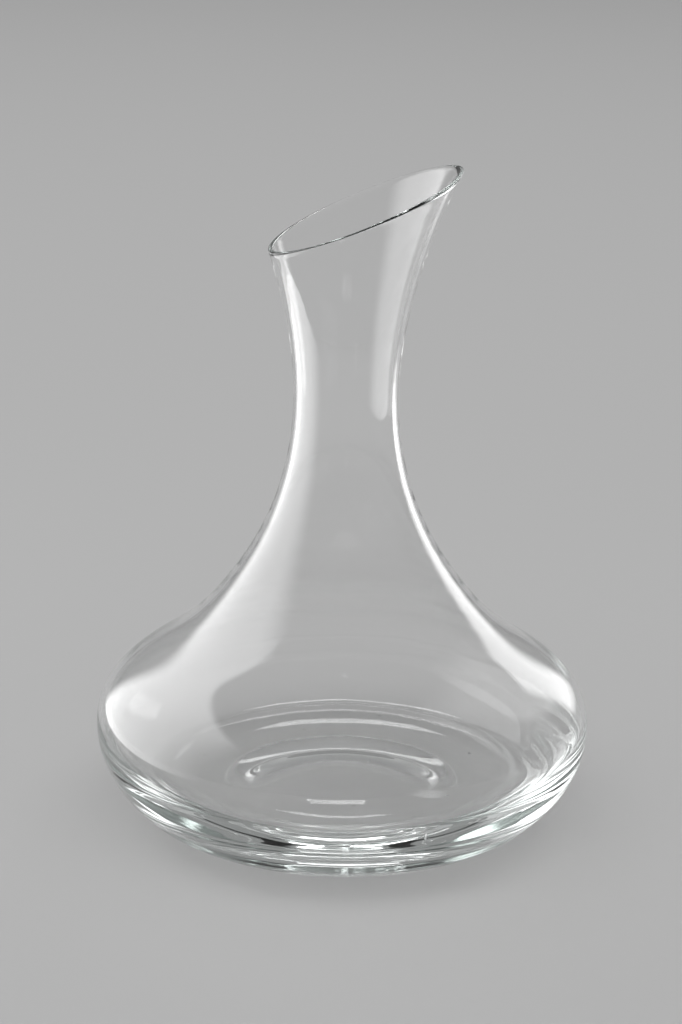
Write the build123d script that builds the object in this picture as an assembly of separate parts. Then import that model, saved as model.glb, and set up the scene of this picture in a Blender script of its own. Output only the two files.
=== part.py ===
"""Wine decanter: one blown clear-glass vessel with a wide, low bowl, a slim neck and a slanted mouth.

Row frame: millimetres, +Z up, the vessel's axis is Z, and the origin is the centre of its base on the table.
The mouth is cut at a slant about Y, so that +X is its high side, where the wine pours.
The wall is real glass with an outer and an inner surface: thin at the lip, heavier down the bowl, and thick
round the foot. The underside is pushed up in a shallow punt, so that the vessel stands on a flat ring.
"""

from build123d import *
import os

# Bowl
BOWL_RADIUS = 98.0  # the widest ring
BOWL_HEIGHT = 39.5
BOWL_WALL = 2.8

# Neck
WAIST_RADIUS = 20.4  # the narrowest ring
WAIST_HEIGHT = 172.0
NECK_WALL = 2.2

# Mouth: a flat cut through the flared neck
MOUTH_HEIGHT = 243.7  # where the cut crosses the axis
MOUTH_SLANT = 23.0  # degrees, rising towards +X
LIP_WALL = 1.9
LIP_ROUNDING = 0.75  # the fire-polished edge
FLARE_LEAN = (0.42, 0.91)  # which way the wall runs at the mouth

# Foot
FOOT_RADIUS = 52.0  # outer edge of the flat ring that the vessel stands on
FOOT_WIDTH = 2.0
PUNT_HEIGHT = 5.0  # how far the underside is pushed up at its centre
PUNT_SLOPE = [(26, 3.9), (42, 0.9)]  # where it comes back down to the ring
FLOOR_HEIGHT = 16.5  # top of the glass floor at its centre

# Outer surface just above the foot, where the vessel rolls up off the table
HEEL = [(62, 0.5), (72, 2.4), (77.8, 5), (85, 10.8), (92.4, 20)]
# Outer surface above the heel, as (radius, height, thickness of the wall there)
WALL = [
    (BOWL_RADIUS, BOWL_HEIGHT, BOWL_WALL),
    (95.9, 50, BOWL_WALL),
    (85.7, 62, 2.6),
    (64.9, 77, 2.5),
    (47.2, 96, 2.4),
    (29.9, 125, 2.3),
    (WAIST_RADIUS, WAIST_HEIGHT, NECK_WALL),
    (25.3, 211, 2.1),
    (38.4, 250, LIP_WALL),
    (49.5, 274, LIP_WALL),  # past the cut, which takes the rest off
]
# Inner surface of the floor and heel, where the glass is much thicker than the wall. The floor is almost flat
# out to a tight corner, and the wall rises from that in one smooth sweep.
FLOOR = [(0, FLOOR_HEIGHT), (40, 16.3), (70, 15.9)]
CORNER = [(75.5, 16), (77, 16.4), (78.5, 17.2)]
INNER_HEEL = [(84, 20.9), (90, 27), (93.8, 33.5)]

LEVEL = (1, 0)  # the lean of a surface that leaves the axis, or the foot ring, level
UNIT_SPEED = (1, 1)  # end tangents as long as the curve's own, which keeps its ends from looping


def inner_point(before, here, after):
    """The point of the inner surface that faces one point of the wall, square through the glass."""
    radius, height, wall = here
    run = (Vector(after[0], after[1]) - Vector(before[0], before[1])).normalized()
    return (radius - wall * run.Y, height + wall * run.X)


def outer_surface():
    """The outer meridian, from the foot ring's outer edge up past the mouth."""
    points = [(FOOT_RADIUS, 0)] + HEEL + [(radius, height) for radius, height, wall in WALL]
    return Spline(points, tangents=(LEVEL, FLARE_LEAN), tangent_scalars=UNIT_SPEED)


def inner_surface():
    """The inner meridian, from the middle of the floor up past the mouth."""
    before = [HEEL[-1]] + WALL[:-1]
    after = WALL[1:] + [WALL[-1]]
    wall = [inner_point(*three) for three in zip(before, WALL, after)]
    points = FLOOR + CORNER + INNER_HEEL + wall
    return Spline(points, tangents=(LEVEL, FLARE_LEAN), tangent_scalars=UNIT_SPEED)


def underside():
    """The punt's meridian, from the axis down to the foot ring's inner edge."""
    points = [(0, PUNT_HEIGHT)] + PUNT_SLOPE + [(FOOT_RADIUS - FOOT_WIDTH, 0)]
    return Spline(points, tangents=(LEVEL, LEVEL), tangent_scalars=UNIT_SPEED)


def blank():
    """The whole blown shape before its mouth is cut."""
    punt, outside, inside = underside(), outer_surface(), inner_surface()
    foot_ring = Line(punt @ 1, outside @ 0)
    top_edge = Line(outside @ 1, inside @ 1)
    centre = Line(inside @ 0, punt @ 0)
    section = make_face([punt, foot_ring, outside, top_edge, inside, centre])
    return revolve(Plane.XZ * section, Axis.Z)


def glass_vessel():
    """The blank with its mouth cut off at a slant and both lip edges melted round."""
    mouth = Plane((0, 0, MOUTH_HEIGHT)).rotated((0, -MOUTH_SLANT, 0))
    vessel = split(blank(), bisect_by=mouth, keep=Keep.BOTTOM)
    lip = vessel.faces().filter_by(GeomType.PLANE).sort_by(Axis.Z)[-1]
    return fillet(lip.edges(), LIP_ROUNDING)


def main():
    os.makedirs("parts", exist_ok=True)
    export_step(glass_vessel(), "parts/glass_vessel.step")


main()
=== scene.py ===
"""Looks of the wine decanter: one blown clear-glass vessel, modelled again as a dense smooth mesh.

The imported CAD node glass_vessel is the fixed frame. The piece built here has the same meridians, and adds
what CAD leaves plain: a fire-polished bead all round the slanted lip, the faint rings that blowing leaves and
a few air seeds. Its sections are in millimetres, as in CAD, and become metres when the mesh is made. The rest
is in metres. The axis of the vessel is Z, it stands on z = 0, and +X is the high side of its mouth.
"""

import math

import bmesh
import bpy
import numpy as np
from mathutils import Matrix, Quaternion, Vector


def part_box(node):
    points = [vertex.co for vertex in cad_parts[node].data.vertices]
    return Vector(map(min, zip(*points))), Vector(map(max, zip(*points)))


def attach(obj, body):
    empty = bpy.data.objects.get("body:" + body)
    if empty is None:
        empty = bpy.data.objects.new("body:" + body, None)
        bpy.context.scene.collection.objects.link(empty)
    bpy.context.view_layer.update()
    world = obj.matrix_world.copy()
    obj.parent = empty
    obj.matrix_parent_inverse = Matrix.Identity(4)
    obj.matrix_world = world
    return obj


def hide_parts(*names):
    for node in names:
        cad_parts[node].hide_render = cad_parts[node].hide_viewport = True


MM = 0.001

# Meridians, as (radius, height) in millimetres, from the base up past the mouth
PUNT = [(0, 5), (26, 3.9), (42, 0.9), (50, 0)]
HEEL = [(52, 0), (62, 0.5), (72, 2.4), (77.8, 5), (85, 10.8), (92.4, 20)]
# Wall, as (radius, height, thickness of the glass there)
WALL = [
    (98, 39.5, 2.8),
    (95.9, 50, 2.8),
    (85.7, 62, 2.6),
    (64.9, 77, 2.5),
    (47.2, 96, 2.4),
    (29.9, 125, 2.3),
    (20.4, 172, 2.2),
    (25.3, 211, 2.1),
    (38.4, 250, 1.9),
    (49.5, 274, 1.9),
]
FLOOR = [(0, 16.5), (40, 16.3), (70, 15.9)]
CORNER = [(75.5, 16), (77, 16.4), (78.5, 17.2)]
INNER_HEEL = [(84, 20.9), (90, 27), (93.8, 33.5)]
LEVEL = (1, 0)
FLARE_LEAN = (0.42, 0.91)

# Mouth: the bead's crest lies in the slanted plane, so the wall itself stops short of it
MOUTH_HEIGHT = 243.7
BEAD_RISE = 1.2
MOUTH_SLANT = math.radians(23)
BEAD_STEPS = 9
CUT_STEPS = 60  # halvings that settle where the slanted cut meets a wall line

# Mesh density: one ring per LONGEST_GAP along a meridian, or per SHARPEST_TURN where it bends
SEGMENTS = 176
FINE_STEP = 0.1
LONGEST_GAP = 1.9
SHARPEST_TURN = math.radians(2.5)
NECK_FROM = 150
NECK_RINGS = 56

# The faint uneven rings that blowing and turning leave inside the shoulder, in millimetres and radians
RIPPLE_HEIGHT = 0.022
RIPPLE_MIDDLE = 108
RIPPLE_REACH = 30
RIPPLE_LENGTHS = (7.3, 11.7)
RIPPLE_DRIFT = 0.7  # how far the rings wander up and down once on their way round
RIPPLE_DRIFT_START = 0.6
RIPPLE_DRIFT_TWICE = 0.4  # and how far they wander twice on their way round
LONG_RIPPLE_SHARE = 0.8  # the height of the longer rings, as a share of the shorter ones' height
LONG_RIPPLE_DRIFT = 1.6  # how many times as far the longer rings wander, the opposite way
RIPPLE_UNEVENNESS = 0.35  # the share by which the height changes, three times on its way round
RIPPLE_UNEVENNESS_START = 1

# Seeds: the few tiny air bubbles caught in the thick floor, in millimetres
SEED_COUNT = 14
SEED_RADII = (0.3, 0.42, 0.6)
SEED_NEAREST = 12  # to the axis
SEED_FARTHEST = 70
SEED_DEPTH = (8, 13)
GOLDEN_TURN = math.pi * (3 - math.sqrt(5))

# Glass material
GLASS_IOR = 1.52
DEPTH_TINT = (0.84, 0.9, 0.88, 1)
DEPTH_DENSITY = 3.0  # per metre
WAVES_PER_METRE = 14
WAVE_STRETCH = 3.0
WAVE_HEIGHT = 0.00012
MARKS_PER_METRE = 45
MARKS_FROM, MARKS_FULL = 0.5, 0.8  # the noise between which the haze sets in
HAZE = 0.03
SHADOW_PASS = 0.85  # share of a lamp's light that each face of the glass lets through

# Stage
FLOOR_HALF_WIDTH = 6
FLOOR_GREY = (0.55, 0.55, 0.55, 1)
ROOM_GREY = (0.26, 0.26, 0.26, 1)
GLASS_BOUNCES = 64  # light runs a long way inside the wall before it leaves at the lip or heel
FLOOR_GAP = 0.0002  # the stage floor stays this far under the foot, so that their faces don't coincide

# Camera
VIEW_AZIMUTH = -2.96
VIEW_ELEVATION = 16.974
VIEW_ROLL = 0.725
VIEW_DISTANCE = 1.1119
AIM_HEIGHT = 0.12536
AIM_LEFT = 0.00144
LENS = 99.64
SENSOR = 36


def curve(points, start=None, end=None):
    """A smooth line through the points, closely sampled. start and end are its leans at its ends."""
    knots = np.array(points, float)
    gaps = np.linalg.norm(np.diff(knots, axis=0), axis=1)
    at = np.concatenate([[0], np.cumsum(gaps)])
    count = len(knots)
    system = np.zeros((count, count))
    known = np.zeros((count, 2))
    for i in range(1, count - 1):
        before, after = gaps[i - 1], gaps[i]
        system[i, i - 1 : i + 2] = after, 2 * (before + after), before
        known[i] = 3 * (
            before * (knots[i + 1] - knots[i]) / after
            + after * (knots[i] - knots[i - 1]) / before
        )
    for row, beside, lean, gap in ((0, 1, start, 0), (-1, -2, end, -1)):
        if lean is None:
            system[row, row], system[row, beside] = 2, 1
            known[row] = 3 * (knots[1] - knots[0] if row == 0 else knots[-1] - knots[-2]) / gaps[gap]
        else:
            system[row, row] = 1
            known[row] = np.array(lean) / np.linalg.norm(lean)
    slopes = np.linalg.solve(system, known)
    along = np.linspace(0, at[-1], max(8, int(at[-1] / FINE_STEP)) + 1)
    span = np.clip(np.searchsorted(at, along, side="right") - 1, 0, count - 2)
    gap = gaps[span][:, None]
    s = (along - at[span])[:, None] / gap
    return thinned(
        (2 * s**3 - 3 * s**2 + 1) * knots[span]
        + (s**3 - 2 * s**2 + s) * gap * slopes[span]
        + (3 * s**2 - 2 * s**3) * knots[span + 1]
        + (s**3 - s**2) * gap * slopes[span + 1]
    )


def thinned(line):
    """The same line on fewer points, close together only where it bends."""
    runs = np.diff(line, axis=0)
    lengths = np.linalg.norm(runs, axis=1)
    leans = np.unwrap(np.arctan2(runs[:, 1], runs[:, 0]))
    turns = np.abs(np.diff(leans, prepend=leans[0]))
    measure = np.concatenate([[0], np.cumsum(lengths / LONGEST_GAP + turns / SHARPEST_TURN)])
    marks = np.linspace(0, measure[-1], int(measure[-1]) + 2)
    return np.stack([np.interp(marks, measure, line[:, side]) for side in (0, 1)], -1)


def ripple(heights, angle):
    """How far the inner wall stands out of true at these heights and this angle about the axis."""
    near = np.exp(-(((heights - RIPPLE_MIDDLE) / RIPPLE_REACH) ** 4))
    first, second = (2 * math.pi * heights / length for length in RIPPLE_LENGTHS)
    drift = RIPPLE_DRIFT * math.sin(angle + RIPPLE_DRIFT_START) + RIPPLE_DRIFT_TWICE * math.sin(2 * angle)
    wave = np.sin(first + drift) + LONG_RIPPLE_SHARE * np.sin(second - LONG_RIPPLE_DRIFT * drift)
    unevenness = RIPPLE_UNEVENNESS * math.sin(3 * angle + RIPPLE_UNEVENNESS_START)
    return RIPPLE_HEIGHT * near * wave * (1 + unevenness)


def facing(before, here, after):
    """The point of the inner surface that faces one point of the wall, square through the glass."""
    run = np.array(after[:2], float) - np.array(before[:2], float)
    run /= np.linalg.norm(run)
    return (here[0] - here[2] * run[1], here[1] + here[2] * run[0])


def meridians():
    """The underside, the outer surface and the inner surface, each from the base up."""
    befores = [HEEL[-1]] + WALL[:-1]
    afters = WALL[1:] + [WALL[-1]]
    inner = FLOOR + CORNER + INNER_HEEL + [facing(*three) for three in zip(befores, WALL, afters)]
    outer = HEEL + [point[:2] for point in WALL]
    return (
        curve(PUNT, start=LEVEL, end=LEVEL),
        curve(outer, start=LEVEL, end=FLARE_LEAN),
        curve(inner, start=LEVEL, end=FLARE_LEAN),
    )


def cut(line, angle):
    """A wall line up to the slanted mouth at one angle about the axis, its neck evenly spaced."""
    neck = int(np.argmax(line[:, 1] >= NECK_FROM))
    heights, radii = line[neck:, 1], line[neck:, 0]
    middle = MOUTH_HEIGHT - BEAD_RISE / math.cos(MOUTH_SLANT)
    top = middle
    for _ in range(CUT_STEPS):
        reach = math.cos(angle) * np.interp(top, heights, radii)
        top = (top + middle + math.tan(MOUTH_SLANT) * reach) / 2
    rings = np.linspace(heights[0], top, NECK_RINGS)
    return np.vstack([line[:neck], np.stack([np.interp(rings, heights, radii), rings], -1)])


def bead(outside, inside):
    """The melted edge between the tops of the two wall lines: a half round as wide as the glass."""
    middle, half = (outside[-1] + inside[-1]) / 2, (outside[-1] - inside[-1]) / 2
    up = outside[-1] - outside[-2]
    up *= np.linalg.norm(half) / np.linalg.norm(up)
    turn = np.linspace(0, math.pi, BEAD_STEPS)[1:-1]
    return middle + np.outer(np.cos(turn), half) + np.outer(np.sin(turn), up)


def add_seeds(shaped):
    """Air bubbles in the floor: small closed spheres that face inwards, since the air is inside them."""
    for k in range(SEED_COUNT):
        share = (k + 0.5) / SEED_COUNT
        reach = SEED_NEAREST + (SEED_FARTHEST - SEED_NEAREST) * math.sqrt(share)
        height = SEED_DEPTH[0] + (SEED_DEPTH[1] - SEED_DEPTH[0]) * (k * 5 % SEED_COUNT) / SEED_COUNT
        turn = k * GOLDEN_TURN
        middle = Vector((reach * math.cos(turn), reach * math.sin(turn), height)) * MM
        radius = SEED_RADII[k % len(SEED_RADII)] * MM
        seed = bmesh.ops.create_icosphere(
            shaped, subdivisions=2, radius=radius, matrix=Matrix.Translation(middle)
        )
        faces = {face for vertex in seed["verts"] for face in vertex.link_faces}
        bmesh.ops.reverse_faces(shaped, faces=list(faces))


def glass_mesh():
    """One closed skin, turned about Z: underside, outer wall, bead, inner wall and floor."""
    under, outer, inner = meridians()
    columns = []
    for k in range(SEGMENTS):
        angle = 2 * math.pi * k / SEGMENTS
        outside, inside = cut(outer, angle), cut(inner, angle)
        inside[:, 0] += ripple(inside[:, 1], angle)
        line = np.vstack([under[1:], outside, bead(outside, inside), inside[:0:-1]])
        columns.append(
            np.stack([line[:, 0] * math.cos(angle), line[:, 0] * math.sin(angle), line[:, 1]], -1)
        )
    rings = len(columns[0])
    points = (np.array(columns).reshape(-1, 3) * MM).tolist()
    below, above = len(points), len(points) + 1
    points += [(0, 0, under[0, 1] * MM), (0, 0, inner[0, 1] * MM)]
    faces = []
    for k in range(SEGMENTS):
        a, b = k * rings, (k + 1) % SEGMENTS * rings
        faces.append((below, b, a))
        faces.append((above, a + rings - 1, b + rings - 1))
        faces += [(a + i, b + i, b + i + 1, a + i + 1) for i in range(rings - 1)]
    mesh = bpy.data.meshes.new("decanter_glass")
    mesh.from_pydata(points, [], faces)
    shaped = bmesh.new()
    shaped.from_mesh(mesh)
    bmesh.ops.recalc_face_normals(shaped, faces=shaped.faces)
    add_seeds(shaped)
    shaped.to_mesh(mesh)
    shaped.free()
    mesh.polygons.foreach_set("use_smooth", [True] * len(mesh.polygons))
    return mesh


def clear_glass():
    """Colourless glass: barely grey-green where it is thick, with the slight waver of blown glass in its skin
    and a breath of haze where it has been handled."""
    material = bpy.data.materials.new("clear_glass")
    material.use_nodes = True
    nodes, link = material.node_tree.nodes, material.node_tree.links.new
    shader = nodes["Principled BSDF"]
    shader.inputs["Base Color"].default_value = (1, 1, 1, 1)
    shader.inputs["IOR"].default_value = GLASS_IOR
    shader.inputs["Transmission Weight"].default_value = 1
    place = nodes.new("ShaderNodeTexCoord")

    # Blowing and turning leave long, shallow waves that run round the wall
    stretch = nodes.new("ShaderNodeMapping")
    stretch.inputs["Scale"].default_value = (1, 1, WAVE_STRETCH)
    link(place.outputs["Object"], stretch.inputs["Vector"])
    waves = nodes.new("ShaderNodeTexNoise")
    waves.inputs["Scale"].default_value = WAVES_PER_METRE
    waves.inputs["Detail"].default_value = 2
    link(stretch.outputs["Vector"], waves.inputs["Vector"])
    skin = nodes.new("ShaderNodeBump")
    skin.inputs["Strength"].default_value = 1
    skin.inputs["Distance"].default_value = WAVE_HEIGHT
    link(waves.outputs["Fac"], skin.inputs["Height"])
    link(skin.outputs["Normal"], shader.inputs["Normal"])

    # Haze: faint patches of handling marks
    marks = nodes.new("ShaderNodeTexNoise")
    marks.inputs["Scale"].default_value = MARKS_PER_METRE
    marks.inputs["Detail"].default_value = 6
    link(place.outputs["Object"], marks.inputs["Vector"])
    haze = nodes.new("ShaderNodeMapRange")
    haze.interpolation_type = "SMOOTHSTEP"
    haze.inputs["From Min"].default_value = MARKS_FROM
    haze.inputs["From Max"].default_value = MARKS_FULL
    haze.inputs["To Min"].default_value = 0
    haze.inputs["To Max"].default_value = HAZE
    link(marks.outputs["Fac"], haze.inputs["Value"])
    link(haze.outputs["Result"], shader.inputs["Roughness"])

    # Depth tint: light loses a little red and blue on its way through thick glass
    depth = nodes.new("ShaderNodeVolumeAbsorption")
    depth.inputs["Color"].default_value = DEPTH_TINT
    depth.inputs["Density"].default_value = DEPTH_DENSITY
    link(depth.outputs["Volume"], nodes["Material Output"].inputs["Volume"])

    # Clear glass casts a light shadow: each face passes most of a lamp's light on to the table
    lit = nodes.new("ShaderNodeLightPath")
    through = nodes.new("ShaderNodeBsdfTransparent")
    through.inputs["Color"].default_value = (SHADOW_PASS, SHADOW_PASS, SHADOW_PASS, 1)
    either = nodes.new("ShaderNodeMixShader")
    link(lit.outputs["Is Shadow Ray"], either.inputs["Fac"])
    link(shader.outputs["BSDF"], either.inputs[1])
    link(through.outputs["BSDF"], either.inputs[2])
    link(either.outputs["Shader"], nodes["Material Output"].inputs["Surface"])
    return material


def vessel():
    mesh = glass_mesh()
    mesh.materials.append(clear_glass())
    piece = bpy.data.objects.new("decanter_glass", mesh)
    bpy.context.scene.collection.objects.link(piece)
    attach(piece, "root")
    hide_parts("glass_vessel")


def stage():
    """A plain pale floor and an even grey room."""
    mesh = bpy.data.meshes.new("floor")
    half = FLOOR_HALF_WIDTH
    corners = [(-half, -half, 0), (half, -half, 0), (half, half, 0), (-half, half, 0)]
    mesh.from_pydata(corners, [], [(0, 1, 2, 3)])
    floor = bpy.data.objects.new("floor", mesh)
    floor.location.z = -FLOOR_GAP
    bpy.context.scene.collection.objects.link(floor)
    material = bpy.data.materials.new("pale_floor")
    material.use_nodes = True
    shader = material.node_tree.nodes["Principled BSDF"]
    shader.inputs["Base Color"].default_value = FLOOR_GREY
    shader.inputs["Roughness"].default_value = 0.9
    shader.inputs["Specular IOR Level"].default_value = 0.2
    mesh.materials.append(material)
    world = bpy.data.worlds.new("studio")
    bpy.context.scene.world = world
    world.use_nodes = True
    world.node_tree.nodes["Background"].inputs["Color"].default_value = ROOM_GREY


def fade(tree, share, dark, full):
    """A smooth rise from no light where share equals dark to all of it where share equals full."""
    ramp = tree.nodes.new("ShaderNodeMapRange")
    ramp.interpolation_type = "SMOOTHSTEP"
    ramp.inputs["From Min"].default_value = min(dark, full)
    ramp.inputs["From Max"].default_value = max(dark, full)
    ramp.inputs["To Min"].default_value = float(dark > full)
    ramp.inputs["To Max"].default_value = float(dark < full)
    tree.links.new(share, ramp.inputs["Value"])
    return ramp.outputs["Result"]


def soften(light, fades):
    """Makes a panel's light die out towards its ends. Each fade names an axis of the panel and two shares of
    its size: where the light is none and where it is full."""
    light.use_nodes = True
    tree = light.node_tree
    surface = tree.nodes.new("ShaderNodeNewGeometry")
    sides = tree.nodes.new("ShaderNodeSeparateXYZ")
    tree.links.new(surface.outputs["Parametric"], sides.inputs["Vector"])
    strength = None
    for side, dark, full in fades:
        ramp = fade(tree, sides.outputs[side], dark, full)
        if strength is None:
            strength = ramp
            continue
        both = tree.nodes.new("ShaderNodeMath")
        both.operation = "MULTIPLY"
        tree.links.new(strength, both.inputs[0])
        tree.links.new(ramp, both.inputs[1])
        strength = both.outputs["Value"]
    tree.links.new(strength, tree.nodes["Emission"].inputs["Strength"])


def panel(name, place, aim, width, height, power, on_floor=False, fades=()):
    """A light panel. One that is on_floor lights only the floor; any other shows only in the glass."""
    light = bpy.data.lights.new(name, "AREA")
    light.shape = "RECTANGLE"
    light.size = width
    light.size_y = height
    light.energy = power
    if fades:
        soften(light, fades)
    lamp = bpy.data.objects.new(name, light)
    lamp.location = place
    lamp.rotation_euler = (Vector(aim) - lamp.location).to_track_quat("-Z", "Y").to_euler()
    lamp.visible_camera = False
    lamp.visible_diffuse = on_floor
    lamp.visible_glossy = not on_floor
    lamp.visible_transmission = not on_floor
    bpy.context.scene.collection.objects.link(lamp)


def lights():
    """Two soft upright panels beside the vessel, one over and behind it, and a broad one for the floor."""
    panel_fades = [("X", 0.0, 0.22), ("X", 1.0, 0.7), ("Y", 1.0, 0.93)]
    panel("left_panel", (-0.35, 0.15, 0.26), (0, 0.15, 0.26), 0.74, 0.52, 2.4, fades=panel_fades)
    strip_fades = [("X", 0.0, 0.3), ("X", 1.0, 0.7), ("Y", 0.0, 0.15)]
    panel("right_strip", (0.33, 0.31, 0.165), (0, 0, 0.165), 0.18, 0.27, 0.28, fades=strip_fades)
    panel("top_rear", (0, 0.75, 1.1), (0, 0, 0.05), 0.5, 0.3, 3)
    panel("overhead", (-0.3, 0.3, 3), (0, 0.2, 0), 6, 6, 112, on_floor=True)
    light_paths = bpy.context.scene.cycles
    light_paths.max_bounces = GLASS_BOUNCES
    light_paths.transmission_bounces = GLASS_BOUNCES
    light_paths.glossy_bounces = GLASS_BOUNCES


def camera():
    """The photograph's viewing angle."""
    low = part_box("glass_vessel")[0]
    turn, rise = math.radians(VIEW_AZIMUTH), math.radians(VIEW_ELEVATION)
    back = Vector((math.sin(turn) * math.cos(rise), -math.cos(turn) * math.cos(rise), math.sin(rise)))
    right = Vector((math.cos(turn), math.sin(turn), 0))
    target = Vector((0, 0, low.z + AIM_HEIGHT)) - right * AIM_LEFT
    view = bpy.data.cameras.new("camera")
    view.lens = LENS
    view.sensor_width = SENSOR
    eye = bpy.data.objects.new("camera", view)
    eye.location = target + back * VIEW_DISTANCE
    eye.rotation_mode = "QUATERNION"
    roll = Quaternion((0, 0, 1), math.radians(VIEW_ROLL))
    eye.rotation_quaternion = (-back).to_track_quat("-Z", "Y") @ roll
    bpy.context.scene.collection.objects.link(eye)
    bpy.context.scene.camera = eye
    bpy.context.scene.view_settings.view_transform = "Standard"


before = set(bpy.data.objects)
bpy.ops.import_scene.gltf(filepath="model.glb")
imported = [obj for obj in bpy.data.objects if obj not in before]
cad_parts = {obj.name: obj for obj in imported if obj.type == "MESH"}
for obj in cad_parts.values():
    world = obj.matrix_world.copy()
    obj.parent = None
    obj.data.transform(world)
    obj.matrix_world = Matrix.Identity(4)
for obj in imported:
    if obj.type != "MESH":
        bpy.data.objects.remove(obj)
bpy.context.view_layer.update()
vessel()
stage()
lights()
camera()
